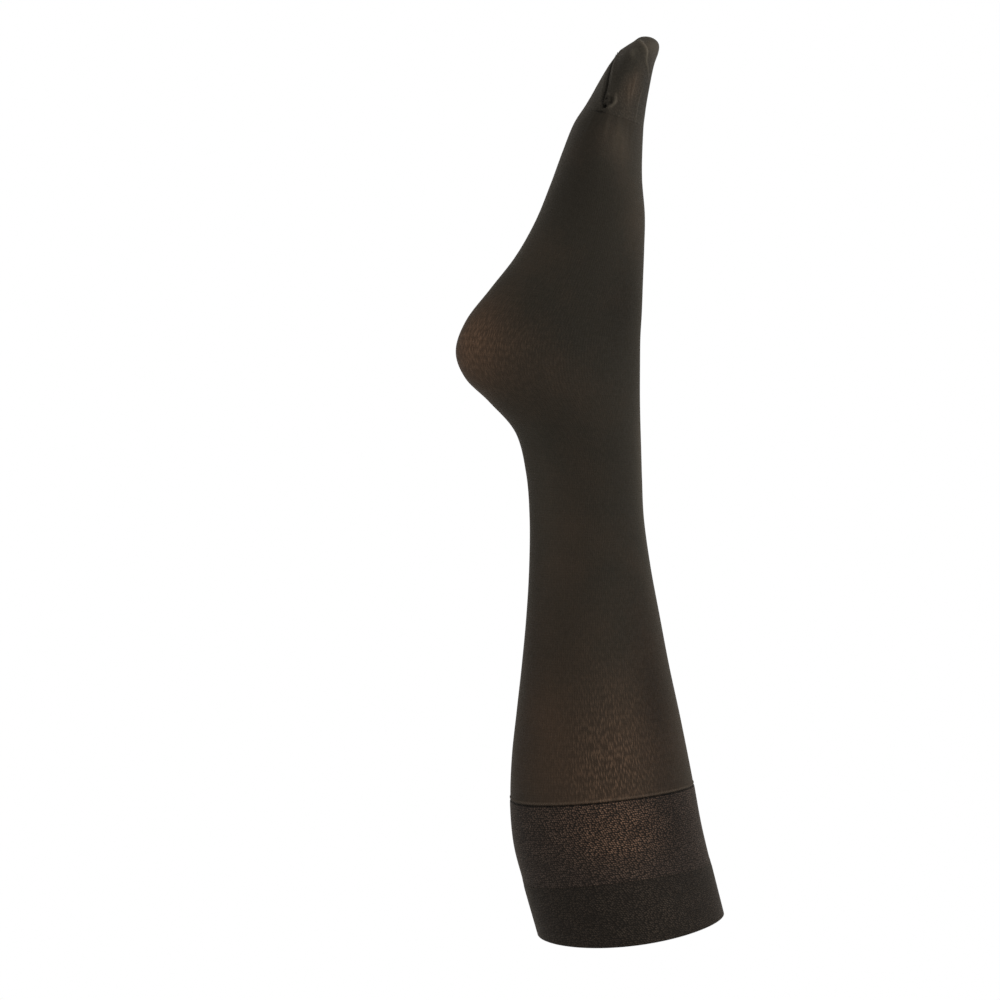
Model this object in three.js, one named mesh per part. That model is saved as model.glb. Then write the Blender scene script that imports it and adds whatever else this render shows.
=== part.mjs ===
// A knee-high compression stocking in its worn, filled-out form, empty: a hollow knitted shell that is open
// at the top band and closed at the toe, held with the toe up.
// Millimetres. +Z runs up from the open edge to the toe, +X towards the shin and instep, +Y towards the
// outer side of the stocking. The origin is the middle of the open edge, where the stocking is held.

import * as THREE from 'three';

// Cloth thickness of each zone, measured inwards and outwards from the face of the leg knit.
const INSIDE = 1.0;
const PROUD = { leg: 0, toe: 0.3, band: 0.35, welt: 0.8 };
const SEAM_GAP = 0.3;

// Cross-sections from the open edge to the toe tip. x and z place the middle of a section, tilt turns its
// front edge up in degrees, depth is back to front and width side to side. shift moves it towards the outer
// side. egg makes the back wider than the front, and square is the exponent of its superellipse outline.
// drop is how much lower its inner side hangs than its front and back.
const COLUMNS = ['place', 'x', 'z', 'tilt', 'depth', 'width', 'shift', 'egg', 'square', 'drop'];
const SECTIONS = [
  ['open edge',     0.0,   0.0,   6.5, 115.5, 106,   0,  0.05, 2.00,  3.0],
  ['welt line',    -9.0,  33.5,   6.5, 116.5, 108,   0,  0.08, 2.00, -2.4],
  ['band middle', -15.0,  58.0,   6.3, 117.0, 109,   0,  0.10, 2.00, -1.8],
  ['band seam',   -18.3,  83.5,   5.0, 114.5, 109,   0,  0.10, 2.00, -1.2],
  ['full calf',   -20.0, 108.0,   2.5, 109.0, 107,   0,  0.10, 2.00,  0.0],
  ['under calf',  -21.0, 134.0,   0.5, 101.0, 101,   0,  0.09, 2.00,  0.0],
  ['calf end',    -22.5, 163.0,   0.0,  91.5,  92,   0,  0.06, 2.00,  0.0],
  ['low leg',     -24.0, 193.0,   0.0,  83.0,  82,   0,  0.02, 2.00,  0.0],
  ['above ankle', -26.0, 223.5,   0.0,  75.5,  72,   0, -0.04, 2.00,  0.0],
  ['ankle',       -28.0, 254.0,  -0.5,  71.0,  64,   0, -0.08, 2.05,  0.0],
  ['tendon',      -29.7, 280.0,  -3.0,  72.0,  63,   0, -0.10, 2.10,  0.0],
  ['over heel',   -33.3, 303.0,  -6.0,  78.2,  65,   0, -0.12, 2.15,  0.0],
  ['heel rise',   -41.6, 321.0,  -6.0,  93.8,  67,   0, -0.12, 2.20,  0.0],
  ['heel back',   -49.2, 336.0,  -5.0, 108.4,  68,   0, -0.10, 2.20,  0.0],
  ['heel',        -52.2, 353.0,  -4.5, 114.4,  67,   0, -0.08, 2.20,  0.0],
  ['heel front',  -49.0, 371.0,  -5.5, 108.5,  66,   0, -0.04, 2.20,  0.0],
  ['heel end',    -41.0, 389.0,  -8.5,  94.8,  66,   0,  0.02, 2.20,  0.0],
  ['high arch',   -32.9, 408.0, -11.5,  80.4,  68,   0,  0.08, 2.20,  0.0],
  ['arch',        -26.4, 429.0, -14.5,  69.4,  72,   0,  0.12, 2.20,  0.0],
  ['low arch',    -21.7, 450.5, -17.5,  61.3,  78,   0,  0.15, 2.25,  0.0],
  ['behind ball', -18.8, 472.0, -19.0,  51.8,  85,  -1,  0.16, 2.30,  0.0],
  ['ball',        -15.2, 491.0, -17.5,  44.2,  88,  -2,  0.15, 2.35,  0.0],
  ['toe root',    -10.2, 507.0, -13.0,  35.3,  86,  -3,  0.12, 2.35,  0.0],
  ['toes',         -5.1, 522.0,  -8.5,  29.8,  78,  -6,  0.08, 2.30,  0.0],
  ['toe front',    -0.6, 533.3,  -5.5,  25.5,  66,  -9,  0.05, 2.25,  0.0],
  ['toe nose',      4.1, 541.0,  -4.5,  21.4,  52, -11,  0.03, 2.20,  0.0],
  ['nose',          7.3, 545.5,  -5.0,  15.2,  37, -12,  0.00, 2.10,  0.0],
  ['nose end',      7.6, 548.2,  -5.0,   8.6,  20, -13,  0.00, 2.00,  0.0],
  ['tip',           7.4, 549.2,  -5.0,   0.0,   0, -13,  0.00, 2.00,  0.0],
].map((row) => Object.fromEntries(COLUMNS.map((column, i) => [column, row[i]])));

// Soft folds where the cloth gathers around the toe's closing seam. A station counts the rows of SECTIONS
// from the open edge, and an angle turns from the instep (0) to the sole (180). reach is how far the fold
// spreads, and height is negative for a trough. Each fold is on both sides of the toe. It is followed in
// FOLD_STEPS straight steps, and at its ends it has the height that a half sine wave has after FOLD_FADE.
const FOLDS = [
  { from: 22.0, fromAngle: 109, to: 25.1, toAngle: 178, reach: 1.9, height: -1.7 },
  { from: 21.9, fromAngle: 100, to: 23.4, toAngle: 124, reach: 2.4, height: 1.0 },
  { from: 21.6, fromAngle: 92,  to: 22.8, toAngle: 84,  reach: 2.6, height: 0.7 },
  { from: 23.0, fromAngle: 38,  to: 26.2, toAngle: 62,  reach: 2.4, height: 0.9 },
];
const FOLD_STEPS = 10;
const FOLD_FADE = 0.12;

// Rings and points around each piece. The toe's last ring lies POLE_RING stations short of its tip.
const LEG_ROUND = 36;
const RINGS = { welt: 4, upper_band: 6, leg: 19, heel_and_arch: 19, forefoot: 7, toe_cap: 22 };
const TOE_ROUND = 56;
const POLE_RING = 0.3;

// The round fold of the welt's rim, in degrees from its inside to its outside.
const RIM_TURNS = [-60, -20, 20, 60];

const stationOf = (place) => SECTIONS.findIndex((row) => row.place === place);
const WELT_LINE = stationOf('welt line');
const BAND_SEAM = stationOf('band seam');
const HEEL_START = stationOf('over heel');
const FOREFOOT_START = stationOf('low arch');
const TOE_START = stationOf('ball') + 0.5;
const TIP = stationOf('tip');

// One smooth curve through each pair of columns of the table.
const curveOf = (...columns) => new THREE.CatmullRomCurve3(
  SECTIONS.map((row) => new THREE.Vector3(...columns.map((column) => row[column]))),
  false, 'catmullrom', 0.5);
const MIDDLE = curveOf('x', 'shift', 'z');
const SIZE = curveOf('depth', 'width', 'tilt');
const SHAPE = curveOf('egg', 'square', 'drop');

const bend = (value, power) => Math.sign(value) * Math.abs(value) ** power;

// The face of the leg knit at a station and an angle in radians from the instep towards the outer side.
function face(station, angle) {
  const t = station / TIP;
  const middle = MIDDLE.getPoint(t);
  const size = SIZE.getPoint(t);
  const shape = SHAPE.getPoint(t);
  const forward = bend(Math.cos(angle), 2 / shape.y);
  const sideways = bend(Math.sin(angle), 2 / shape.y) * (1 - shape.x * forward);
  const tilt = THREE.MathUtils.degToRad(size.z);
  const ahead = forward * Math.max(size.x, 0) / 2;
  const inner = Math.max(-Math.sin(angle), 0);
  return new THREE.Vector3(
    middle.x + ahead * Math.cos(tilt),
    middle.y + sideways * Math.max(size.y, 0) / 2,
    middle.z + ahead * Math.sin(tilt) - shape.z * inner * inner);
}

// The stations just below and just above one, kept on the stocking.
const STEP = 0.01;
const beside = (station) => [Math.max(station - STEP, 0), Math.min(station + STEP, TIP)];

// The outward normal of that face.
function outward(station, angle) {
  const [below, above] = beside(station);
  const around = face(station, angle + STEP).sub(face(station, angle - STEP));
  const up = face(above, angle).sub(face(below, angle));
  return around.cross(up).normalize();
}

// Each fold's own line on the face of the cloth, once for each side of the toe.
const FOLD_LINES = FOLDS.flatMap((fold) => [-1, 1].map((side) => ({
  ...fold,
  line: Array.from({ length: FOLD_STEPS + 1 }, (_, i) => face(
    THREE.MathUtils.lerp(fold.from, fold.to, i / FOLD_STEPS),
    side * THREE.MathUtils.degToRad(THREE.MathUtils.lerp(fold.fromAngle, fold.toAngle, i / FOLD_STEPS)))),
})));

// How far the folds lift the cloth at a point of the face. A fold fades out at both of its ends.
function foldLift(point) {
  let lift = 0;
  for (const { line, reach, height } of FOLD_LINES) {
    let nearest = Infinity;
    let along = 0;
    for (let i = 0; i < FOLD_STEPS; i++) {
      const step = new THREE.Line3(line[i], line[i + 1]);
      const closest = step.closestPointToPoint(point, true, new THREE.Vector3());
      const distance = closest.distanceTo(point);
      if (distance < nearest) {
        nearest = distance;
        along = (i + closest.distanceTo(line[i]) / step.distance()) / FOLD_STEPS;
      }
    }
    const fade = Math.sin(Math.PI * THREE.MathUtils.lerp(FOLD_FADE, 1 - FOLD_FADE, along));
    lift += height * fade * Math.exp(-((nearest / reach) ** 2));
  }
  return lift;
}

// A point of the cloth, raised by lift from the face of the leg knit.
function clothPoint({ station, lift }, angle) {
  const point = face(station, angle);
  return point.addScaledVector(outward(station, angle), lift + foldLift(point));
}

// Stations per millimetre of length along the middle of the stocking.
function stationsPerMillimetre(station) {
  const [below, above] = beside(station);
  return (above - below) / MIDDLE.getPoint(below / TIP).distanceTo(MIDDLE.getPoint(above / TIP));
}

// Two edges that face each other across a seam.
function seamAt(station) {
  const half = SEAM_GAP / 2 * stationsPerMillimetre(station);
  return { below: station - half, above: station + half };
}

// Points of a wall's section: up its outside from one station to another, then back down its inside.
function wall(from, to, rings, proud) {
  const steps = Array.from({ length: rings }, (_, i) => THREE.MathUtils.lerp(from, to, i / (rings - 1)));
  return [
    ...steps.map((station) => ({ station, lift: proud })),
    ...steps.reverse().map((station) => ({ station, lift: -INSIDE })),
  ];
}

// Sweeps a wall's section round the stocking. A section that starts and ends at the tip is closed there by
// a point on the outside and one on the inside; any other section is a loop.
function shell(section, round, tip) {
  const positions = [];
  const index = [];
  for (const place of section) {
    for (let i = 0; i < round; i++) positions.push(...clothPoint(place, (2 * Math.PI * i) / round).toArray());
  }
  const at = (ring, i) => ring * round + (i % round);
  const loops = tip ? section.length - 1 : section.length;
  for (let ring = 0; ring < loops; ring++) {
    const next = (ring + 1) % section.length;
    for (let i = 0; i < round; i++) {
      index.push(at(ring, i), at(ring, i + 1), at(next, i + 1));
      index.push(at(ring, i), at(next, i + 1), at(next, i));
    }
  }
  if (tip) {
    const inner = positions.length / 3;
    const last = section.length - 1;
    positions.push(...tip.inside.toArray(), ...tip.outside.toArray());
    for (let i = 0; i < round; i++) {
      index.push(inner, at(0, i + 1), at(0, i));
      index.push(inner + 1, at(last, i), at(last, i + 1));
    }
  }
  const geometry = new THREE.BufferGeometry();
  geometry.setAttribute('position', new THREE.Float32BufferAttribute(positions, 3));
  geometry.setIndex(index);
  geometry.computeVertexNormals();
  return geometry;
}

// The doubled top edge: the knit is folded inwards, so its open rim is a round fold.
function weltSection() {
  const radius = (INSIDE + PROUD.welt) / 2;
  const middle = (PROUD.welt - INSIDE) / 2;
  const perMillimetre = stationsPerMillimetre(0);
  const rim = RIM_TURNS.map(THREE.MathUtils.degToRad).map((turn) => ({
    station: radius * (1 - Math.cos(turn)) * perMillimetre,
    lift: middle + radius * Math.sin(turn),
  }));
  return [...wall(radius * perMillimetre, seamAt(WELT_LINE).below, RINGS.welt, PROUD.welt), ...rim];
}

// The toe, from its inside tip down to its edge and up the outside again.
function toeGeometry() {
  const section = wall(seamAt(TOE_START).above, TIP - POLE_RING, RINGS.toe_cap, PROUD.toe);
  const outside = section.slice(0, RINGS.toe_cap);
  const inside = section.slice(RINGS.toe_cap);
  const axis = MIDDLE.getPoint(1).sub(MIDDLE.getPoint(1 - 1 / TIP)).normalize();
  return shell([...inside, ...outside], TOE_ROUND, {
    inside: MIDDLE.getPoint(1).addScaledVector(axis, -INSIDE),
    outside: MIDDLE.getPoint(1).addScaledVector(axis, PROUD.toe),
  });
}

const knit = (color, roughness) => new THREE.MeshStandardMaterial({ color, roughness, metalness: 0 });

function piece(name, geometry, material) {
  const mesh = new THREE.Mesh(geometry, material);
  mesh.name = name;
  return mesh;
}

// A stretch of the tube from one station to another, open at both ends.
function tube(name, from, to, proud, material) {
  const section = wall(seamAt(from).above, seamAt(to).below, RINGS[name], proud);
  return piece(name, shell(section, LEG_ROUND), material);
}

// The leg knit is one tube on the real stocking. It is parted here into three plain stretches.
const LEG_KNIT = knit('#2e2823', 0.8);
const stocking = new THREE.Group();
stocking.add(
  piece('welt', shell(weltSection(), LEG_ROUND), knit('#29241f', 0.9)),
  tube('upper_band', WELT_LINE, BAND_SEAM, PROUD.band, knit('#3a2f29', 0.85)),
  tube('leg', BAND_SEAM, HEEL_START, PROUD.leg, LEG_KNIT),
  tube('heel_and_arch', HEEL_START, FOREFOOT_START, PROUD.leg, LEG_KNIT),
  tube('forefoot', FOREFOOT_START, TOE_START, PROUD.leg, LEG_KNIT),
  piece('toe_cap', toeGeometry(), knit('#36322e', 0.8)),
);

export default stocking;
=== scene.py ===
"""The looks of a knee-high compression stocking: a hollow knit in its worn, filled-out form, toe up."""
import math

import bpy
import numpy as np
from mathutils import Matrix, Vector


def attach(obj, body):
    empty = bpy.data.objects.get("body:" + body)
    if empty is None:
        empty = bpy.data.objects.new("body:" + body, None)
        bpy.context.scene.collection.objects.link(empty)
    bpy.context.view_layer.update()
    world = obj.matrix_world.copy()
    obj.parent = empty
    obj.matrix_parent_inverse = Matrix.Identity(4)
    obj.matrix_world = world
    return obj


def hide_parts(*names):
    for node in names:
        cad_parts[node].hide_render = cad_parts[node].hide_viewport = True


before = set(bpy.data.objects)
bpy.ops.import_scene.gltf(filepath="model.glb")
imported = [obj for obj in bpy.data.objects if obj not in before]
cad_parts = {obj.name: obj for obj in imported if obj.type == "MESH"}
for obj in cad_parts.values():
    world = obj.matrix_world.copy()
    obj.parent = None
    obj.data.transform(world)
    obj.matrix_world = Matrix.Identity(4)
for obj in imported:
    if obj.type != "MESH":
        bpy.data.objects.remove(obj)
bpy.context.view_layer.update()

# Lengths are in millimetres and angles in degrees, unless a comment says otherwise.
MM = 0.001


def named(columns, rows):
    """The rows of a table, each as a dictionary."""
    return [dict(zip(columns, row)) for row in rows]


# The sections of the stocking from its open edge to its toe tip, as the solids have them. x and z place the
# middle of a section, tilt turns its front edge up, depth is back to front and width side to side, and shift
# moves it towards the outer side. egg makes the back wider than the front, square is the exponent of the
# superellipse, and drop is how much lower the inner side hangs.
COLUMNS = ("place", "x", "z", "tilt", "depth", "width", "shift", "egg", "square", "drop")
SECTIONS = (
    ("open edge",     0.0,   0.0,   6.5, 115.5, 106,   0,  0.05, 2.00,  3.0),
    ("welt line",    -9.0,  33.5,   6.5, 116.5, 108,   0,  0.08, 2.00, -2.4),
    ("band middle", -15.0,  58.0,   6.3, 117.0, 109,   0,  0.10, 2.00, -1.8),
    ("band seam",   -18.3,  83.5,   5.0, 114.5, 109,   0,  0.10, 2.00, -1.2),
    ("full calf",   -20.0, 108.0,   2.5, 109.0, 107,   0,  0.10, 2.00,  0.0),
    ("under calf",  -21.0, 134.0,   0.5, 101.0, 101,   0,  0.09, 2.00,  0.0),
    ("calf end",    -22.5, 163.0,   0.0,  91.5,  92,   0,  0.06, 2.00,  0.0),
    ("low leg",     -24.0, 193.0,   0.0,  83.0,  82,   0,  0.02, 2.00,  0.0),
    ("above ankle", -26.0, 223.5,   0.0,  75.5,  72,   0, -0.04, 2.00,  0.0),
    ("ankle",       -28.0, 254.0,  -0.5,  71.0,  64,   0, -0.08, 2.05,  0.0),
    ("tendon",      -29.7, 280.0,  -3.0,  72.0,  63,   0, -0.10, 2.10,  0.0),
    ("over heel",   -33.3, 303.0,  -6.0,  78.2,  65,   0, -0.12, 2.15,  0.0),
    ("heel rise",   -41.6, 321.0,  -6.0,  93.8,  67,   0, -0.12, 2.20,  0.0),
    ("heel back",   -49.2, 336.0,  -5.0, 108.4,  68,   0, -0.10, 2.20,  0.0),
    ("heel",        -52.2, 353.0,  -4.5, 114.4,  67,   0, -0.08, 2.20,  0.0),
    ("heel front",  -49.0, 371.0,  -5.5, 108.5,  66,   0, -0.04, 2.20,  0.0),
    ("heel end",    -41.0, 389.0,  -8.5,  94.8,  66,   0,  0.02, 2.20,  0.0),
    ("high arch",   -32.9, 408.0, -11.5,  80.4,  68,   0,  0.08, 2.20,  0.0),
    ("arch",        -26.4, 429.0, -14.5,  69.4,  72,   0,  0.12, 2.20,  0.0),
    ("low arch",    -21.7, 450.5, -17.5,  61.3,  78,   0,  0.15, 2.25,  0.0),
    ("behind ball", -18.8, 472.0, -19.0,  51.8,  85,  -1,  0.16, 2.30,  0.0),
    ("ball",        -15.2, 491.0, -17.5,  44.2,  88,  -2,  0.15, 2.35,  0.0),
    ("toe root",    -10.2, 507.0, -13.0,  35.3,  86,  -3,  0.12, 2.35,  0.0),
    ("toes",         -5.1, 522.0,  -8.5,  29.8,  78,  -6,  0.08, 2.30,  0.0),
    ("toe front",    -0.6, 533.3,  -5.5,  25.5,  66,  -9,  0.05, 2.25,  0.0),
    ("toe nose",      4.1, 541.0,  -4.5,  21.4,  52, -11,  0.03, 2.20,  0.0),
    ("nose",          7.3, 545.5,  -5.0,  15.2,  37, -12,  0.00, 2.10,  0.0),
    ("nose end",      7.6, 548.2,  -5.0,   8.6,  20, -13,  0.00, 2.00,  0.0),
    ("tip",           7.4, 549.2,  -5.0,   0.0,   0, -13,  0.00, 2.00,  0.0),
)
TABLE = {name: np.array(values, float) for name, values in zip(COLUMNS[1:], list(zip(*SECTIONS))[1:])}

# A station is a section's row in that table, counted from 0, or a place between two rows. The toe starts
# halfway between two.
PLACES = [row[0] for row in SECTIONS]
TIP = PLACES.index("tip")
WELT_LINE = PLACES.index("welt line")
BAND_SEAM = PLACES.index("band seam")
TOE_START = PLACES.index("ball") + 0.5

# How far the inside and the outsides of the pieces lie from the face of the leg knit.
INSIDE = -1.0
PROUD = {"leg": 0.0, "toe": 0.3, "band": 0.35, "welt": 0.8}

# The gaps between two pieces of cloth: at the band's two edges, and at the toe's.
SEAM_GAP = 0.12
TOE_GAP = 0.03

# The seam that closes the toe, and the crease in which it goes on across the toe's end. A point of a crease
# is a station and an angle from the instep (0) to the sole (180).
CLOSING_SEAM = ((21.7, 111.5), (21.9, 117), (22.15, 121), (22.5, 124.5), (22.9, 133), (23.55, 147),
                (24.0, 158), (24.3, 167))
SEAM_ACROSS = ((24.2, 163), (24.45, 170.5), (24.6, 178), (24.62, 184))

# The creases at the toe, each made on both sides. reach is how far a crease spreads, height is negative for
# a trough, and tone is painted shade along a trough and a painted highlight along a ridge, which make its
# knit darker or paler.
CREASES = named(("name", "reach", "height", "tone", "points"), (
    ("closing seam", 0.75, -1.7, -0.5, CLOSING_SEAM),
    ("seam across", 0.7, -0.5, -0.45, SEAM_ACROSS),
    ("front lip", 1.5, 0.8, 0.12,
     ((21.95, 104), (22.6, 114), (23.1, 124), (23.8, 139), (24.3, 152), (24.7, 165))),
    ("sole lip", 1.9, 0.55, 0.0, ((21.8, 120), (22.4, 132), (23.0, 145), (23.5, 156), (23.9, 166))),
    ("shoulder", 2.4, 0.3, 0.0, ((24.85, 145), (24.8, 180), (24.85, 215))),
    ("pucker", 1.25, -2.4, -0.85, ((21.84, 109.5), (21.68, 111.5))),
    ("small pucker", 0.8, -1.1, -0.6, ((22.08, 115), (22.02, 112))),
    ("pucker fold", 0.8, -0.7, -0.35, ((21.52, 126), (21.50, 114), (21.54, 103))),
    ("lip fleck", 0.7, 0.55, 0.55, ((22.28, 113.5), (22.18, 109))),
    ("curved ridge", 0.9, 1.2, 1.0, ((22.3, 101), (22.12, 97), (21.94, 96.5), (21.76, 101), (21.68, 105))),
    ("curved hollow", 1.2, -0.8, -0.3, ((22.2, 105), (21.95, 101), (21.85, 104))),
    ("nose ridge", 0.9, 1.1, 1.3,
     ((26.0, 134), (25.6, 107), (25.0, 84), (24.6, 72), (24.0, 62), (23.6, 48), (23.2, 36))),
    ("nose hollow", 1.6, -0.6, -0.1, ((25.5, 126), (25.0, 103), (24.5, 86), (23.9, 76))),
    ("tip fleck", 0.8, 0.4, 0.35, ((24.75, 150), (24.55, 157))),
    ("high streak", 1.5, 0.5, 0.6, ((24.75, 113), (24.4, 104), (24.0, 94))),
    ("long streak", 0.9, 0.5, 0.22, ((23.3, 77), (22.7, 75), (22.1, 73))),
    ("short streak", 0.8, 0.45, 0.2, ((22.95, 88), (22.4, 81), (21.9, 75))),
    ("ball streak", 1.9, 0.3, 0.3, ((21.45, 86), (21.0, 82), (20.3, 81))),
    ("side streak", 1.2, 0.4, 0.2, ((22.9, 50), (22.1, 55), (21.4, 52))),
    ("fan 1", 1.1, 0.45, 0.22, ((21.5, 97), (21.1, 96), (20.6, 94))),
    ("fan 2", 1.2, -0.4, -0.12, ((21.5, 90), (21.0, 84), (20.4, 80))),
    ("fan 3", 1.3, 0.35, 0.12, ((21.4, 83), (20.9, 74), (20.2, 69))),
    ("fan 4", 1.2, 0.35, 0.0, ((21.4, 118), (21.1, 122), (20.5, 122))),
    ("fan 5", 1.3, -0.3, 0.0, ((21.6, 66), (21.0, 62), (20.5, 60))),
))

# The outer side's creases lie a little lower and nearer to the sole, and are shallower.
OUTER_STATION = -0.12
OUTER_ANGLE = 4.0
OUTER_HEIGHT = 0.85

# Zones of the knit, on both sides: the middle of each, as a station and an angle from the instep, and how
# far it spreads along in stations and around in degrees. warm is how warm it looks where the knit is
# stretched thin, pale is painted light and shade, which make it paler or darker, and streaks is how much
# its streaks show.
ZONES = named(("name", "station", "angle", "along", "around", "warm", "pale", "streaks"), (
    ("calf",          3.7,  86, 1.4,  46, 0.62, -0.07, 0.0),
    ("upper calf",    5.4,  80, 1.6,  36, 0.26,  0.00, 0.0),
    ("calf streaks",  3.9,  84, 1.7,  26, 0.00,  0.02, 0.68),
    ("calf side",     5.0, 132, 2.0,  30, 0.42, -0.06, 0.0),
    ("back of calf",  4.6, 180, 1.6,  30, 0.20,  0.00, 0.0),
    ("shin",          5.0,   0, 2.0,  35, 0.20,  0.00, 0.0),
    ("band",          2.1,  84, 0.85, 29, 1.02, -0.10, 0.0),
    ("heel",         14.3, 152, 1.2,  39, 1.24,  0.00, 0.6),
    ("heel back",    14.4, 180, 1.5,  24, 0.00, -0.12, 0.0),
    ("heel low",     12.7, 150, 0.9,  34, 0.22,  0.00, 0.1),
    ("ankle",        12.0,  80, 2.2,  34, 0.10,  0.00, 0.0),
    ("toe side",     22.7,  76, 0.8,  19, 0.32,  0.12, 0.0),
    ("ball",         20.6,  74, 0.8,  23, 0.15,  0.30, 0.0),
    ("instep",       19.0,  40, 2.2,  26, 0.06,  0.15, 0.0),
    ("toe tip",      25.4,  66, 1.0,  52, 0.00,  0.65, 0.0),
    ("toe front",    22.7,  22, 1.1,  34, 0.00, -0.30, 0.0),
    ("ankle front",  10.2,   6, 2.5,  24, 0.00,  0.38, 0.0),
    ("arch side",    16.9, 138, 1.5,  34, 0.00,  0.18, 0.0),
    ("high instep",  16.4,  45, 1.6,  18, 0.00, -0.18, 0.0),
    ("tendon side",   9.6, 138, 2.0,  28, 0.00,  0.26, 0.0),
    ("shin side",     5.3,  44, 2.4,  20, 0.22, -0.30, 0.0),
    ("shank",         8.6, 108, 1.3,  26, 0.20,  0.00, 0.0),
    ("welt grain",    0.45, 74, 0.4,  20, 0.65,  0.00, 0.0),
    ("band side",     2.1,  48, 1.2,  16, 0.00, -0.16, 0.0),
    ("calf back",     4.2, 172, 3.2,  26, 0.00, -0.20, 0.0),
    ("toe sole",     21.9, 172, 1.9,  26, 0.00, -0.20, 0.0),
))

# The knit's repeats. A wale is one column of stitches, and there is a whole number of them all round. A
# course is one row of stitches, and those of the welt and the toe are denser.
WALES = 200
COURSE = 1.55
BAND_COURSE = 1.6
DENSE_COURSE = COURSE * 0.8


def unit(vectors):
    """Vectors brought to a length of 1."""
    return vectors / np.linalg.norm(vectors, axis=-1, keepdims=True)


def bumps(lengths, *hills):
    """A sum of small rounded hills along the length: each has its place, reach and height."""
    return sum(height * np.exp(-((lengths - place) / reach) ** 2) for place, reach, height in hills)


def ease(value, low, high):
    """A smooth step from 0 at low to 1 at high."""
    share = np.clip((value - low) / (high - low), 0, 1)
    return share * share * (3 - 2 * share)


def curve(values, place):
    """A Catmull-Rom curve through values, at any places from 0 to the last. Its ends are reflected."""
    values = np.concatenate([[2 * values[0] - values[1]], values, [2 * values[-1] - values[-2]]])
    row = np.minimum(place.astype(int), len(values) - 4)
    t = place - row
    a, b, c, d = (values[row + k] for k in range(4))
    return b + 0.5 * t * (c - a + t * (2 * a - 5 * b + 4 * c - d + t * (3 * (b - c) + d - a)))


def along(name, station):
    """A column of the sections' table at any stations."""
    return curve(TABLE[name], np.clip(np.asarray(station, float), 0, TIP))


def bend(value, power):
    """A power of the value that keeps its sign."""
    return np.sign(value) * np.abs(value) ** power


def face(station, angle):
    """Points of the face of the leg knit, at stations and at angles in radians from the instep."""
    station, angle = np.broadcast_arrays(np.asarray(station, float), np.asarray(angle, float))
    power = 2 / along("square", station)
    forward = bend(np.cos(angle), power)
    sideways = bend(np.sin(angle), power) * (1 - along("egg", station) * forward)
    tilt = np.radians(along("tilt", station))
    ahead = forward * np.maximum(along("depth", station), 0) / 2
    inner = np.maximum(-np.sin(angle), 0)
    return np.stack([
        along("x", station) + ahead * np.cos(tilt),
        along("shift", station) + sideways * np.maximum(along("width", station), 0) / 2,
        along("z", station) + ahead * np.sin(tilt) - along("drop", station) * inner ** 2,
    ], axis=-1)


# How far to each side of a point its normal is taken, in stations and in radians.
NORMAL_STEP = 0.01


def outward(station, angle):
    """The outward normals of that face."""
    below = np.maximum(station - NORMAL_STEP, 0)
    above = np.minimum(station + NORMAL_STEP, TIP)
    around = face(station, angle + NORMAL_STEP) - face(station, angle - NORMAL_STEP)
    up = face(above, angle) - face(below, angle)
    return unit(np.cross(around, up))


# The middle line of the stocking, in fine steps from station to station, and its length from the open edge.
FINE_STEPS = 100
FINE_STATIONS = np.linspace(0, TIP, TIP * FINE_STEPS + 1)
MIDDLE = np.stack([along(name, FINE_STATIONS) for name in ("x", "shift", "z")], axis=-1)
FINE_LENGTHS = np.concatenate([[0], np.cumsum(np.linalg.norm(np.diff(MIDDLE, axis=0), axis=1))])


def length_at(station):
    """The lengths along the middle line at stations."""
    return np.interp(station, FINE_STATIONS, FINE_LENGTHS)


def station_at(length):
    """The stations at such lengths."""
    return np.interp(length, FINE_LENGTHS, FINE_STATIONS)


# A crease is followed in so many steps, fades towards its ends, and is left out beyond so many times its
# reach.
CREASE_STEPS = 36
CREASE_FADE = 0.05
CREASE_LIMIT = 3


def crease_line(points, side):
    """A smooth line on the face through a crease's points. side is 1 on the outer side, -1 on the inner."""
    places = np.linspace(0, len(points) - 1, CREASE_STEPS + 1)
    stations, angles = (curve(np.array(values, float), places) for values in zip(*points))
    if side > 0:
        stations = stations + OUTER_STATION
        angles = angles + OUTER_ANGLE
    return face(stations, side * np.radians(angles))


def creased(points):
    """How far the creases lift the cloth at points of its face, and the painted shade and highlight that they
    give it.
    """
    lift = np.zeros(len(points))
    tone = np.zeros(len(points))
    for crease in CREASES:
        for side in (-1, 1):
            line = crease_line(crease["points"], side)
            limit = CREASE_LIMIT * crease["reach"]
            near = np.all((points > line.min(0) - limit) & (points < line.max(0) + limit), axis=1)
            if not near.any():
                continue
            start, step = line[:-1], np.diff(line, axis=0)
            offset = points[near][:, None] - start
            share = np.clip((offset * step).sum(-1) / (step ** 2).sum(-1), 0, 1)
            distance = np.linalg.norm(offset - share[..., None] * step, axis=-1)
            closest = distance.argmin(axis=1)
            rows = np.arange(len(closest))
            place = (closest + share[rows, closest]) / CREASE_STEPS
            fade = np.sin(math.pi * (CREASE_FADE + (1 - 2 * CREASE_FADE) * place))
            strength = fade * np.exp(-(distance[rows, closest] / crease["reach"]) ** 2)
            depth = OUTER_HEIGHT if side > 0 else 1.0
            lift[near] += crease["height"] * depth * strength
            tone[near] += crease["tone"] * strength
    return lift, tone


def zones(station, angle, kind):
    """A sum of the zones' amounts of one kind, at stations and at angles in radians."""
    turn = np.degrees(np.abs((angle + math.pi) % (2 * math.pi) - math.pi))
    total = np.zeros(np.broadcast(station, angle).shape)
    for zone in ZONES:
        up = (station - zone["station"]) / zone["along"]
        around = (turn - zone["angle"]) / zone["around"]
        total = total + zone[kind] * np.exp(-up ** 2 - around ** 2)
    return total


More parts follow.
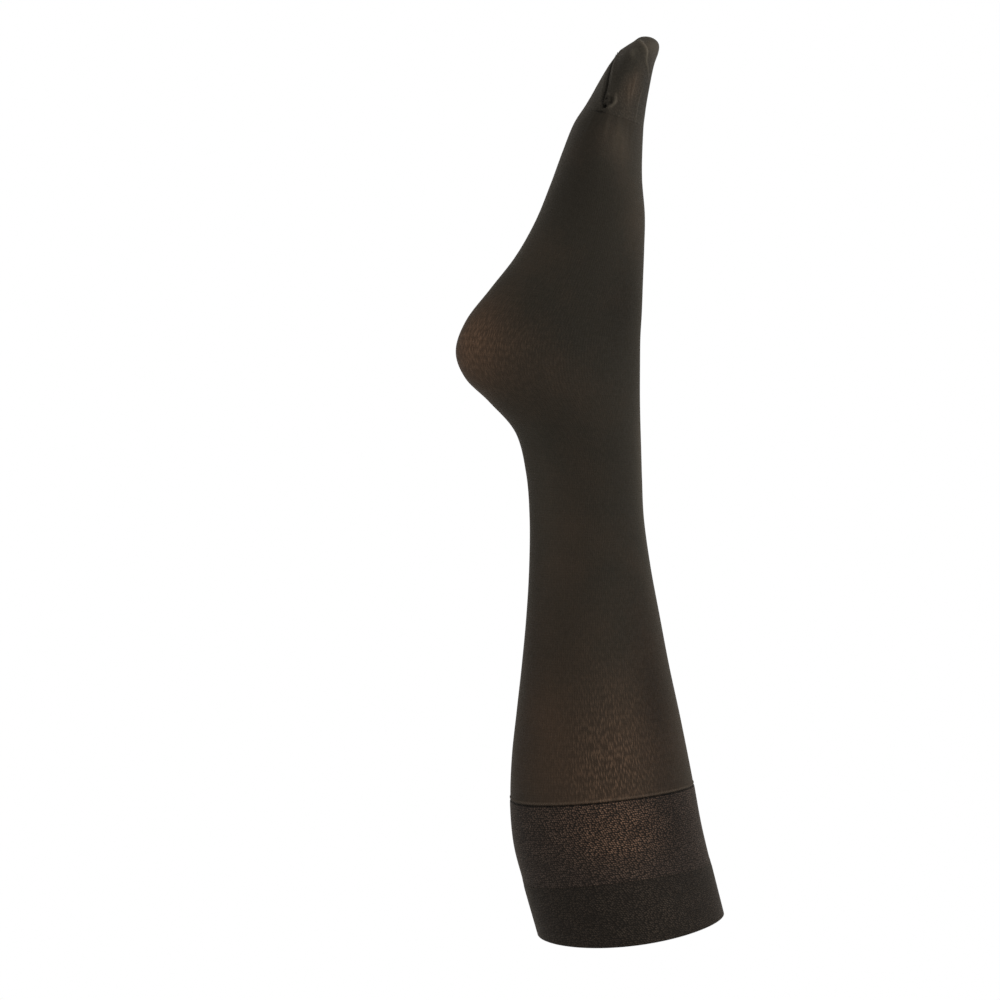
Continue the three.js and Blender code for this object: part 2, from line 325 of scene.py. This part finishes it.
def cloth_at(stations, turns, lifts):
    """Points of the creased cloth at stations, angles and lifts from its face, and the creases' painted shade
    and highlight.
    """
    base = face(stations, turns)
    lift, tone = creased(base.reshape(-1, 3))
    lift = lifts + lift.reshape(stations.shape)
    return base + outward(stations, turns) * lift[..., None], tone.reshape(stations.shape)


# The turns in which a wall's edge is rounded over, from its outside to its inside, and the places of the
# first rings from an edge, which lie closer together than the rest.
EDGE_TURNS = np.radians([75, 50, 25, 0, -25, -50, -75])
EDGE_SPACING = np.array([0.0, 0.08, 0.25, 0.5, 0.8, 1.1, 1.5, 2.0, 2.6, 3.3])


def rings_between(low, high, spacing):
    """Lengths of the rings from one edge to the other, closer together near both edges."""
    inner_low, inner_high = low + EDGE_SPACING[-1], high - EDGE_SPACING[-1]
    count = max(2, round((inner_high - inner_low) / spacing))
    middle = np.linspace(inner_low, inner_high, count + 1)
    return np.concatenate([low + EDGE_SPACING[:-1], middle, (high - EDGE_SPACING[:-1])[::-1]])


def rounded_edge(end, outer, inner, depth, towards_top):
    """A wall's edge, rounded over as a half ellipse of a given depth, from its outside to its inside."""
    thick = (outer(end) - inner(end)) / 2
    middle = (outer(end) + inner(end)) / 2
    sign = 1 if towards_top else -1
    return end + sign * depth * (np.cos(EDGE_TURNS) - 1), middle + sign * thick * np.sin(EDGE_TURNS)


def wall_section(low, high, outer, inner, spacing, inner_spacing, low_depth, high_depth):
    """Lengths and lifts round a wall's section: up its outside, over its top edge and down its inside."""
    outside = rings_between(low + low_depth, high - high_depth, spacing)
    inside = rings_between(low + low_depth, high - high_depth, inner_spacing)[::-1]
    top = rounded_edge(high, outer, inner, high_depth, True)
    bottom = rounded_edge(low, outer, inner, low_depth, False)
    return (np.concatenate([outside, top[0], inside, bottom[0]]),
            np.concatenate([outer(outside), top[1], inner(inside), bottom[1]]))


def add_object(name, data):
    """Puts a mesh, a light or a camera into the scene."""
    thing = bpy.data.objects.new(name, data)
    bpy.context.collection.objects.link(thing)
    return thing


def all_round(count):
    """Even angles all round, in radians from the instep. The first is at the outer side."""
    return np.linspace(0, 2 * math.pi, count, endpoint=False) + math.pi / 2


def cloth_mesh(name, lengths, lifts, sides, course, shade=(), closed=True, tips=()):
    """Sweeps a section round the stocking as a mesh, with the knit's wales and courses as its UV map.

    shade holds hills of painted light and shade along the length. An open section has tips. Each is a point,
    the row of the ring that a fan of triangles joins to it, and whether that fan is on the outside.
    """
    stations, turns = np.broadcast_arrays(station_at(lengths)[:, None], all_round(sides)[None, :])
    points, tone = cloth_at(stations, turns, lifts[:, None])
    # The tone is painted light and shade: the creases' painted shade and highlight, the zones' pale amounts
    # and the hills along the length.
    tone = tone + zones(stations, turns, "pale")
    if shade:
        tone = tone + bumps(lengths, *shade)[:, None]
    levels = {"warm": zones(stations, turns, "warm"), "streaks": zones(stations, turns, "streaks")}
    levels["tone"] = tone

    rows = len(lengths)
    ring = np.arange(rows if closed else rows - 1)
    below, first = np.meshgrid(ring, np.arange(sides), indexing="ij")
    above = (below + 1) % rows
    second = (first + 1) % sides
    quads = np.stack([below * sides + first, below * sides + second,
                      above * sides + second, above * sides + first], axis=-1).reshape(-1, 4)
    across = np.stack([first, first + 1, first + 1, first], axis=-1).reshape(-1, 4) * WALES / sides
    up = np.stack([below, below, above, above], axis=-1).reshape(-1, 4)
    uvs = np.stack([across, lengths[up] / course], axis=-1).reshape(-1, 2)
    vertices = points.reshape(-1, 3)
    faces = quads.tolist()

    for tip, row, outside in tips:
        centre = len(vertices)
        vertices = np.concatenate([vertices, tip[None, :]])
        corners = np.arange(sides)
        pairs = np.stack([corners, (corners + 1) % sides], axis=-1)
        laps = np.stack([corners + 0.5, corners, corners + 1], axis=-1) * WALES / sides
        if not outside:
            pairs = pairs[:, ::-1]
            laps = laps[:, [0, 2, 1]]
        faces += [[centre, row * sides + a, row * sides + b] for a, b in pairs.tolist()]
        fan = np.stack([laps, np.full(laps.shape, lengths[row] / course)], axis=-1)
        uvs = np.concatenate([uvs, fan.reshape(-1, 2)])

    mesh = bpy.data.meshes.new(name)
    mesh.from_pydata((vertices * MM).tolist(), [], faces)
    mesh.uv_layers.new(name="knit").data.foreach_set("uv", uvs.ravel())
    for attribute, values in levels.items():
        values = np.append(values.ravel(), np.zeros(len(tips)))
        mesh.attributes.new(attribute, "FLOAT", "POINT").data.foreach_set("value", values)
    mesh.shade_smooth()
    mesh.validate()
    return add_object(name, mesh)


class Nodes:
    """A material's node tree, built step by step."""

    def __init__(self, name):
        self.material = bpy.data.materials.new(name)
        self.material.use_nodes = True
        self.tree = self.material.node_tree
        self.shader = self.tree.nodes["Principled BSDF"]

    def connect(self, value, socket):
        """Links another node's output to a socket, or sets the socket itself to a plain value."""
        if isinstance(value, bpy.types.NodeSocket):
            self.tree.links.new(value, socket)
        else:
            socket.default_value = value

    def finish(self, inputs):
        """Links or sets the shader's sockets by their names, and gives the material."""
        for name, value in inputs.items():
            self.connect(value, self.shader.inputs[name])
        return self.material

    def add(self, kind, inputs=(), **settings):
        """A new node with its settings, and with its inputs linked or set by their names."""
        node = self.tree.nodes.new("ShaderNode" + kind)
        for name, value in settings.items():
            setattr(node, name, value)
        for name, value in dict(inputs).items():
            self.connect(value, node.inputs[name])
        return node

    def math(self, operation, *values):
        node = self.add("Math", operation=operation)
        for value, socket in zip(values, node.inputs):
            self.connect(value, socket)
        return node.outputs[0]

    def wave(self, value):
        """A cosine wave from 0 to 1, with its crest at each whole number."""
        turn = self.math("COSINE", self.math("MULTIPLY", value, 2 * math.pi))
        return self.math("MULTIPLY_ADD", turn, 0.5, 0.5)

    def vector(self, x, y):
        return self.add("CombineXYZ", {"X": x, "Y": y}).outputs[0]

    def attribute(self, name):
        """A level that the mesh holds at each of its points."""
        return self.add("Attribute", attribute_name=name).outputs["Fac"]

    def noise_in_space(self, inputs):
        """Noise by the place on the object, in metres."""
        place = self.add("TexCoord").outputs["Object"]
        return self.add("TexNoise", {"Vector": place, **inputs}).outputs[0]

    def mix(self, share, low, high):
        node = self.add("Mix", data_type="RGBA")
        for value, socket in ((share, node.inputs[0]), (low, node.inputs[6]), (high, node.inputs[7])):
            self.connect(value, socket)
        return node.outputs[2]

    def scaled(self, base, strength):
        """A colour made lighter or darker."""
        return self.add("VectorMath", {"Scale": strength, 0: base}, operation="SCALE").outputs[0]

    def span(self, value, low, high, to_low=0.0, to_high=1.0):
        """A value between low and high, brought to the same place between to_low and to_high."""
        return self.add("MapRange", {"Value": value, "From Min": low, "From Max": high,
                                     "To Min": to_low, "To Max": to_high}).outputs[0]

    def relief(self, height, depth):
        """A bumped normal. depth is in millimetres."""
        return self.add("Bump", {"Height": height, "Distance": depth * MM, "Strength": 1.0}).outputs[0]


def colour(red, green, blue):
    """A linear colour from the 0 to 255 levels of a screen colour."""
    def level(value):
        share = value / 255
        return share / 12.92 if share <= 0.04045 else ((share + 0.055) / 1.055) ** 2.4
    return (level(red), level(green), level(blue), 1.0)


# A stitch: how far its strands slant between the middle of its wale and the sides, in courses, how roundly
# the wale stands up between its gaps, and the strands' share in its height.
STITCH_SLANT = 0.5
WALE_SHAPE = 3.0
STRAND_SHARE = 0.5


def knit_surface(nodes):
    """The knit's places and stitches: their height, the gaps between them and a random level for each."""
    place = nodes.add("SeparateXYZ", {"Vector": nodes.add("UVMap", uv_map="knit").outputs[0]})
    wale, course = place.outputs[0], place.outputs[1]
    from_middle = nodes.math("ABSOLUTE", nodes.math("SUBTRACT", nodes.math("FRACT", wale), 0.5))
    from_middle = nodes.math("MULTIPLY", from_middle, 2.0)
    strand_place = nodes.math("MULTIPLY_ADD", from_middle, STITCH_SLANT, course)
    strand = nodes.wave(strand_place)
    rib = nodes.math("SUBTRACT", 1.0, nodes.math("POWER", from_middle, WALE_SHAPE))
    height = nodes.math("MULTIPLY", rib, nodes.math("MULTIPLY_ADD", strand, STRAND_SHARE, 1 - STRAND_SHARE))
    gap = nodes.math("MULTIPLY", from_middle, nodes.math("SUBTRACT", 1.0, strand))
    cell = nodes.vector(nodes.math("FLOOR", wale), nodes.math("FLOOR", strand_place))
    chance = nodes.add("TexWhiteNoise", {"Vector": cell}, noise_dimensions="2D").outputs[0]
    return {"wale": wale, "course": course, "height": height, "gap": gap, "chance": chance}


# A grain fades from its core to its reach. Its strength is at least the faintest and at most a span more.
# The mean is what grains come to all over, and is taken off where they shouldn't make the knit paler.
GRAIN_CORE = 0.05
GRAIN_REACH = 0.48
GRAIN_FAINTEST = 0.35
GRAIN_SPAN = 0.8
GRAIN_MEAN = 0.18


def grain(nodes, knit, across, up, lean, scatter):
    """Uneven pale grains between dark gaps. Larger factors across and up make more of them to the stitch."""
    side = nodes.math("MULTIPLY_ADD", knit["course"], lean, nodes.math("MULTIPLY", knit["wale"], across))
    place = nodes.vector(side, nodes.math("MULTIPLY", knit["course"], up))
    cells = nodes.add("TexVoronoi", {"Vector": place, "Scale": 1.0, "Randomness": scatter},
                      voronoi_dimensions="2D")
    spot = nodes.span(cells.outputs["Distance"], GRAIN_CORE, GRAIN_REACH, 1.0, 0.0)
    level = nodes.add("SeparateColor", {"Color": cells.outputs["Color"]}).outputs[0]
    return nodes.math("MULTIPLY", spot, nodes.math("MULTIPLY_ADD", level, GRAIN_SPAN, GRAIN_FAINTEST))


# Every knit: how strongly the tone acts and the darkest that it makes, the roughness from stitch to stitch,
# and the gloss and sheen, which are even.
TONE_STRENGTH = 1.6
TONE_FLOOR = 0.12
KNIT_ROUGHNESS = (0.80, 0.95)
KNIT_GLOSS = {"Specular IOR Level": 0.06, "Sheen Weight": 0.10, "Sheen Roughness": 0.32,
              "Sheen Tint": colour(200, 186, 166)}


def finish_knit(nodes, base, height, relief, knit, tone):
    """Tones the colour with painted light and shade, and in plain knit with grains too, and joins colour,
    relief and gloss to the shader. relief is in millimetres.
    """
    strength = nodes.math("MAXIMUM", nodes.math("MULTIPLY_ADD", tone, TONE_STRENGTH, 1.0), TONE_FLOOR)
    return nodes.finish({"Base Color": nodes.scaled(base, strength),
                         "Normal": nodes.relief(height, relief),
                         "Roughness": nodes.span(knit["chance"], 0.0, 1.0, *KNIT_ROUGHNESS),
                         **KNIT_GLOSS})


# The levels of noise between which a soft cloud goes from its least to its most.
CLOUD_CUT = (0.3, 0.7)

# Plain knit. Its streaks are broken grains, long along the wales, and its grit is fine leaning grains.
STREAKS = {"across": 2.0, "up": 0.32, "lean": 0.08, "scatter": 0.85}
GRIT = {"lean": 0.5, "scatter": 0.9}
LEAST_STREAKS = 0.1

# How much warmer it is in its streaks, where it is thin, and from cloud to cloud.
STREAK_WARMTH = 0.5
THIN_WARMTH = 0.62
CLOUD_WARMTH = (-0.06, 0.06)
PLAIN_CLOUD = {"Scale": 28.0, "Detail": 3.0, "Roughness": 0.55}

# The shade of a stitch, and of the gap beside it.
STITCH_SHADE = 1.04
GAP_SHADE = 0.86


def plain_knit(name, yarn, warm, contrast, grit, grit_fineness, relief):
    """Fine plain knit. Faint broken streaks follow its wales, and it is warmer and more broken where thin.

    contrast is how much the streaks of its zones show, and grit how much its fine grains do.
    """
    nodes = Nodes(name)
    knit = knit_surface(nodes)
    streak = nodes.math("SUBTRACT", grain(nodes, knit, **STREAKS), GRAIN_MEAN)
    strength = nodes.math("MULTIPLY_ADD", nodes.attribute("streaks"), contrast, LEAST_STREAKS)
    breaking = nodes.math("MULTIPLY", streak, strength)
    thin = nodes.math("MULTIPLY", nodes.attribute("warm"), THIN_WARMTH)
    share = nodes.math("MULTIPLY_ADD", breaking, STREAK_WARMTH, thin)
    cloud = nodes.span(nodes.noise_in_space(PLAIN_CLOUD), *CLOUD_CUT, *CLOUD_WARMTH)
    base = nodes.mix(nodes.math("ADD", share, cloud), yarn, warm)
    base = nodes.scaled(base, nodes.span(knit["gap"], 0.0, 1.0, STITCH_SHADE, GAP_SHADE))
    fine = nodes.math("SUBTRACT", grain(nodes, knit, grit_fineness, grit_fineness, **GRIT), GRAIN_MEAN)
    # The tone is the mesh's painted light and shade, with the fine grains and the broken streaks added.
    tone = nodes.math("ADD", nodes.math("MULTIPLY_ADD", fine, grit, nodes.attribute("tone")), breaking)
    return finish_knit(nodes, base, knit["height"], relief, knit, tone)


# Net knit. Its loops are leaning grains, and clouds make them fainter or stronger.
LOOPS = {"across": 1.25, "up": 1.2, "lean": 0.55, "scatter": 0.62}
NET_CLOUD = {"Scale": 0.18, "Detail": 2.0}
CLOUD_STRENGTH = (0.75, 1.2)


def net_knit(name, yarn, dot, warm_dot, low, strength, relief):
    """Net knit: small leaning loops catch the light and stand out as pale grains, uneven in strength.

    low is how much they show, and strength is how much more they do where the knit is stretched thin.
    """
    nodes = Nodes(name)
    knit = knit_surface(nodes)
    thin = nodes.attribute("warm")
    loops = grain(nodes, knit, **LOOPS)
    cloud = nodes.add("TexNoise", {"Vector": nodes.vector(knit["wale"], knit["course"]), **NET_CLOUD},
                      noise_dimensions="2D").outputs[0]
    cloud = nodes.span(cloud, *CLOUD_CUT, *CLOUD_STRENGTH)
    amount = nodes.math("MULTIPLY", loops, nodes.math("MULTIPLY_ADD", thin, strength, low))
    amount = nodes.math("MULTIPLY", amount, cloud)
    base = nodes.mix(amount, yarn, nodes.mix(thin, dot, warm_dot))
    # Its tone is the mesh's painted light and shade.
    return finish_knit(nodes, base, loops, relief, knit, nodes.attribute("tone"))


# Sewing thread: the noise of its twist, the levels between which that goes from dark to light, its relief
# and its gloss.
TWIST = {"Scale": 1800.0, "Detail": 2.0}
TWIST_CUT = (0.35, 0.65)
TWIST_RELIEF = 0.06
THREAD_GLOSS = {"Roughness": 0.7, "Specular IOR Level": 0.15}


def thread_material(name, dark, light):
    """Twisted sewing thread."""
    nodes = Nodes(name)
    twist = nodes.noise_in_space(TWIST)
    return nodes.finish({"Base Color": nodes.mix(nodes.span(twist, *TWIST_CUT), dark, light),
                         "Normal": nodes.relief(twist, TWIST_RELIEF), **THREAD_GLOSS})


def dress(piece, nodes, material):
    """Gives a piece of cloth its material and its place under the root body, and hides the parts that it
    stands for.
    """
    piece.data.materials.append(material)
    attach(piece, "root")
    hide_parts(*nodes)


# Where the pieces meet, as lengths from the open edge, the level at which the welt meets the band, and the
# lengths over which an outside eases from its edge to its own level.
WELT_TOP = float(length_at(WELT_LINE))
BAND_TOP = float(length_at(BAND_SEAM))
TOE_EDGE = float(length_at(TOE_START))
FLUSH = (PROUD["welt"] + PROUD["band"]) / 2
WELT_EASE = 4
TOE_EASE = 9

# The row of loops above the band's seam, and the row that links the hem inside the welt.
LOOP_ROW = BAND_TOP + 1.5
HEM_ROW = WELT_TOP - 0.9

# Hills and hollows of the faces, and hills of their painted light and shade: the shades are painted shade
# along the groove at the band's seam, and the loop light is a painted highlight along the ridge of loops
# above it. Each has its place, reach and height.
HEM_CHANNEL = (WELT_TOP - 2.2, 0.8, -0.35)
BAND_HOLLOW = (BAND_TOP + 0.3, 0.7, -0.5)
BAND_SHADE = (BAND_TOP + 0.1, 0.7, -0.45)
LEG_HOLLOW = (BAND_TOP, 0.6, -0.15)
LEG_SHADE = (BAND_TOP, 0.5, -0.5)
LOOP_RIDGE = (LOOP_ROW, 0.55, 0.22)
LOOP_LIGHT = (LOOP_ROW, 0.6, 0.4)

# How many points the pieces have all round.
TOP_SIDES = 240
LEG_SIDES = 220
TOE_SIDES = 440


def inside_face(lengths):
    """The inside of every piece but the welt."""
    return np.full(np.shape(lengths), INSIDE)


def welt_face(lengths):
    """The welt's outside. It eases to the band's at its top, where the photograph shows no step."""
    return FLUSH + (PROUD["welt"] - FLUSH) * ease(WELT_TOP - lengths, 0, WELT_EASE)


def welt_inside(lengths):
    """The welt's inside, with a shallow channel beside the row that links its hem."""
    return INSIDE + bumps(lengths, HEM_CHANNEL)


def band_face(lengths):
    """The band's outside. It sinks a little at the seam to the leg."""
    level = FLUSH + (PROUD["band"] - FLUSH) * ease(lengths - WELT_TOP, 0, WELT_EASE)
    return level + bumps(lengths, BAND_HOLLOW)


def leg_face(lengths):
    """The leg's outside. A hairline ridge follows the band's seam."""
    return PROUD["leg"] + bumps(lengths, LOOP_RIDGE, LEG_HOLLOW)


def toe_face(lengths):
    """The toe's outside. It starts flush with the leg and grows to its own thickness."""
    return PROUD["leg"] + (PROUD["toe"] - PROUD["leg"]) * ease(lengths - TOE_EDGE, 0, TOE_EASE)


def welt():
    """The doubled top edge: the knit is folded inwards, and its inner layer is linked on below the band."""
    lengths, lifts = wall_section(0.0, WELT_TOP - SEAM_GAP / 2, welt_face, welt_inside,
                                  spacing=1.0, inner_spacing=1.6, low_depth=0.9, high_depth=0.1)
    return cloth_mesh("welt_knit_shell", lengths, lifts, TOP_SIDES, DENSE_COURSE)


def upper_band():
    """The net-knit band, from the welt to its seam with the leg."""
    lengths, lifts = wall_section(WELT_TOP + SEAM_GAP / 2, BAND_TOP - SEAM_GAP / 2, band_face, inside_face,
                                  spacing=1.0, inner_spacing=2.0, low_depth=0.1, high_depth=0.3)
    return cloth_mesh("upper_band_net", lengths, lifts, TOP_SIDES, BAND_COURSE, shade=(BAND_SHADE,))


def leg_and_foot():
    """The one tube of leg, heel and foot, from the band to the toe."""
    lengths, lifts = wall_section(BAND_TOP + SEAM_GAP / 2, TOE_EDGE - TOE_GAP / 2, leg_face, inside_face,
                                  spacing=1.6, inner_spacing=4.0, low_depth=0.3, high_depth=0.03)
    return cloth_mesh("leg_and_foot_knit", lengths, lifts, LEG_SIDES, COURSE, shade=(LEG_SHADE, LOOP_LIGHT))


# The toe's rings outside and inside, the depth of its rounded edge, how far from there its next ring lies,
# and how far in stations its last ring stays from the tip.
TOE_RINGS = 135
TOE_INNER_RINGS = 46
TOE_EDGE_DEPTH = 0.03
NEXT_RING = 0.1
LAST_RING = 0.03


def toe_cap():
    """The toe, from its inside tip down to its edge and up the outside again."""
    low = TOE_EDGE + TOE_GAP / 2
    start = low + TOE_EDGE_DEPTH
    last = float(length_at(TIP - LAST_RING))

    def rings(count):
        """Lengths from the edge to the tip, closer together near the tip."""
        return start + (last - start) * np.sin(np.linspace(0, math.pi / 2, count + 1))

    outside = np.insert(rings(TOE_RINGS), 1, start + NEXT_RING)
    inside = rings(TOE_INNER_RINGS)[::-1]
    edge = rounded_edge(low, toe_face, inside_face, TOE_EDGE_DEPTH, False)
    lengths = np.concatenate([inside, edge[0], outside])
    lifts = np.concatenate([inside_face(inside), edge[1], toe_face(outside)])
    # The inside's tip and the outside's lie apart along the last stretch of the middle line.
    tip = face(TIP, 0.0)
    axis = unit(MIDDLE[-1] - MIDDLE[-FINE_STEPS])
    tips = ((tip + axis * INSIDE, 0, False), (tip + axis * PROUD["toe"], len(lengths) - 1, True))
    return cloth_mesh("toe_cap_knit", lengths, lifts, TOE_SIDES, DENSE_COURSE, closed=False, tips=tips)


# The sides of a thread, its points from one end (-1) to the other (1), and a direction that no thread runs
# in, from which its sides are turned.
THREAD_SIDES = 6
THREAD_POINTS = np.linspace(-1, 1, 7)
THREAD_ASIDE = (0.3, 0.2, 1.0)


def threads(name, paths, radius, material):
    """A row of short round threads as one mesh. paths holds the points of each, stitch by stitch."""
    paths = np.asarray(paths, float)
    count, steps = paths.shape[:2]
    forward = unit(np.gradient(paths, axis=1))
    aside = unit(np.cross(forward, THREAD_ASIDE))
    over = np.cross(forward, aside)
    turns = np.linspace(0, 2 * math.pi, THREAD_SIDES, endpoint=False)
    ring = aside[:, :, None] * np.cos(turns)[:, None] + over[:, :, None] * np.sin(turns)[:, None]
    taper = np.full(steps, radius)
    taper[0] = taper[-1] = radius / 2
    vertices = paths[:, :, None] + ring * taper[:, None, None]
    faces = []
    for stitch in range(count):
        first = stitch * steps * THREAD_SIDES
        for step in range(steps - 1):
            low = first + step * THREAD_SIDES
            for side in range(THREAD_SIDES):
                after = (side + 1) % THREAD_SIDES
                faces.append((low + side, low + after, low + THREAD_SIDES + after, low + THREAD_SIDES + side))
        last = first + (steps - 1) * THREAD_SIDES
        faces.append(tuple(range(first + THREAD_SIDES - 1, first - 1, -1)))
        faces.append(tuple(range(last, last + THREAD_SIDES)))
    mesh = bpy.data.meshes.new(name)
    mesh.from_pydata((vertices.reshape(-1, 3) * MM).tolist(), [], faces)
    mesh.shade_smooth()
    mesh.materials.append(material)
    piece = add_object(name, mesh)
    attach(piece, "root")
    return piece


# The part of a half ellipse's width that a linking stitch follows, as a square.
THREAD_ARCH = 0.9


def linked_row(middle, surface, reach, lean, stand):
    """One slanted stitch to each wale, all round. surface gives the cloth's lift, and stand the thread's."""
    lengths = middle + reach * THREAD_POINTS
    arch = stand * np.sqrt(1 - THREAD_ARCH * THREAD_POINTS ** 2)
    stations, turns = np.broadcast_arrays(
        station_at(lengths)[None, :],
        all_round(WALES)[:, None] + lean * THREAD_POINTS[None, :] * math.pi / WALES)
    points, _ = cloth_at(stations, turns, (surface(lengths) + arch)[None, :])
    return points


# The toe seam's stitches: how far apart they are, how far each reaches to either side, how much it leans,
# how far above the bottom of the seam's trough it stays, and the radius of its thread.
SEAM_PITCH = 1.5
SEAM_BITE = 1.15
SEAM_LEAN = 0.35
SEAM_BRIDGE = 0.25
SEAM_THREAD = 0.15


def toe_seam():
    """Overcast stitches across the toe's closing seam, over the whole of its line, from side to side."""
    points = CLOSING_SEAM + SEAM_ACROSS[1:3]
    halves = [crease_line(points, -1), crease_line(points, 1)[::-1]]
    paths = []
    for line in halves:
        gaps = np.linalg.norm(np.diff(line, axis=0), axis=1)
        run = np.concatenate([[0], np.cumsum(gaps)])
        places = np.arange(SEAM_PITCH, run[-1] - SEAM_PITCH / 2, SEAM_PITCH)
        at = np.stack([np.interp(places, run, line[:, axis]) for axis in range(3)], axis=-1)
        ahead = unit(np.gradient(at, axis=0))
        out = at - np.array([np.interp(at[:, 2], MIDDLE[:, 2], MIDDLE[:, axis]) for axis in range(3)]).T
        out = unit(out - (out * ahead).sum(-1, keepdims=True) * ahead)
        across = np.cross(ahead, out) + SEAM_LEAN * ahead
        spread = at[:, None] + across[:, None] * (SEAM_BITE * THREAD_POINTS)[None, :, None]
        lift, _ = creased(spread.reshape(-1, 3))
        lift = lift.reshape(spread.shape[:2])
        bridge = np.maximum(lift, lift.min(axis=1, keepdims=True) + SEAM_BRIDGE)
        rise = bridge + PROUD["toe"]
        paths.append(spread + out[:, None] * rise[..., None])
    return np.concatenate(paths)


WARM_KNIT = colour(65, 49, 37)
WELT_DOT = colour(76, 65, 55)

dress(welt(), ("welt",),
      net_knit("dense doubled knit", yarn=colour(19, 16, 13), dot=WELT_DOT, warm_dot=WELT_DOT,
               low=0.32, strength=0.2, relief=0.12))
dress(upper_band(), ("upper_band",),
      net_knit("net knit", yarn=colour(23, 19, 16), dot=colour(90, 76, 67), warm_dot=colour(118, 91, 73),
               low=0.36, strength=0.42, relief=0.16))
dress(leg_and_foot(), ("leg", "heel_and_arch", "forefoot"),
      plain_knit("plain leg knit", yarn=colour(30, 27, 22), warm=WARM_KNIT,
                 contrast=0.9, grit=0.12, grit_fineness=1.1, relief=0.09))
dress(toe_cap(), ("toe_cap",),
      plain_knit("dense toe knit", yarn=colour(34, 31, 26), warm=WARM_KNIT,
                 contrast=0.5, grit=0.45, grit_fineness=0.75, relief=0.09))

DARK_THREAD = thread_material("dark sewing thread", colour(20, 17, 15), colour(40, 36, 31))
# The linking yarn is real, and its light colour is a painted highlight along the ridge of loops at the band's
# seam.
LINKING_YARN_WITH_PAINTED_HIGHLIGHT = thread_material("linking yarn with painted highlight", colour(44, 38, 32), colour(76, 66, 56))
threads("band_seam_loops", linked_row(LOOP_ROW, leg_face, reach=0.7, lean=0.8, stand=0.07),
        radius=0.11, material=LINKING_YARN_WITH_PAINTED_HIGHLIGHT)
threads("hem_linking_inside", linked_row(HEM_ROW, welt_inside, reach=0.8, lean=-0.8, stand=-0.12),
        radius=0.16, material=DARK_THREAD)
threads("toe_closing_stitches", toe_seam(), radius=SEAM_THREAD, material=DARK_THREAD)


# The camera stands where the photograph was taken from, as its outline shows.
CAMERA_DISTANCE = 1900.0
CAMERA_ELEVATION = 3.0
CAMERA_AIM = (-81.8, 0.0, 265.4)
FRAME_WIDTH = 620.0
SENSOR = 36.0

# In metres: how far the camera sees, the place that the lights are turned to, and the floor.
FARTHEST_SEEN = 100
LIGHT_AIM = (-0.03, 0.0, 0.27)
FLOOR_HEIGHT = -0.9
FLOOR_RADIUS = 3.0
FLOOR_SIDES = 96
FLOOR_FINISH = {"Base Color": (0.9, 0.9, 0.9, 1), "Roughness": 0.9, "Specular IOR Level": 0.2}


def add_camera():
    """The camera looks a little down at its aim."""
    data = bpy.data.cameras.new("camera")
    data.sensor_width = SENSOR
    data.lens = SENSOR * CAMERA_DISTANCE / FRAME_WIDTH
    data.clip_end = FARTHEST_SEEN
    camera = add_object("camera", data)
    rise = math.radians(CAMERA_ELEVATION)
    x, y, z = CAMERA_AIM
    camera.location = (x * MM, (y - CAMERA_DISTANCE * math.cos(rise)) * MM,
                       (z + CAMERA_DISTANCE * math.sin(rise)) * MM)
    camera.rotation_euler = (math.pi / 2 - rise, 0, 0)
    bpy.context.scene.camera = camera


def add_light(name, place, size, power):
    """A soft square light, turned towards the middle of the stocking."""
    data = bpy.data.lights.new(name, "AREA")
    data.size = size
    data.energy = power
    light = add_object(name, data)
    light.location = place
    towards = [a - b for a, b in zip(LIGHT_AIM, place)]
    light.rotation_euler = Vector(towards).to_track_quat("-Z", "Y").to_euler()


def add_floor():
    """A pale round floor, too low for the camera to see. It throws light up at the stocking."""
    mesh = bpy.data.meshes.new("floor")
    turns = np.linspace(0, 2 * math.pi, FLOOR_SIDES, endpoint=False)
    corners = [(FLOOR_RADIUS * math.cos(a), FLOOR_RADIUS * math.sin(a), FLOOR_HEIGHT) for a in turns]
    mesh.from_pydata(corners, [], [list(range(len(corners)))])
    mesh.materials.append(Nodes("pale floor").finish(FLOOR_FINISH))
    add_object("floor", mesh)


def add_world():
    """Even white light from all round, which is also the white background."""
    world = bpy.data.worlds.new("studio")
    world.use_nodes = True
    background = world.node_tree.nodes["Background"]
    background.inputs["Color"].default_value = (1, 1, 1, 1)
    background.inputs["Strength"].default_value = 1.0
    bpy.context.scene.world = world


add_camera()
add_floor()
add_world()
add_light("key", place=(2.0, -0.6, 0.9), size=1.2, power=53)
add_light("fill", place=(-1.7, -1.7, 0.7), size=1.5, power=18)
bpy.context.scene.view_settings.view_transform = "Standard"
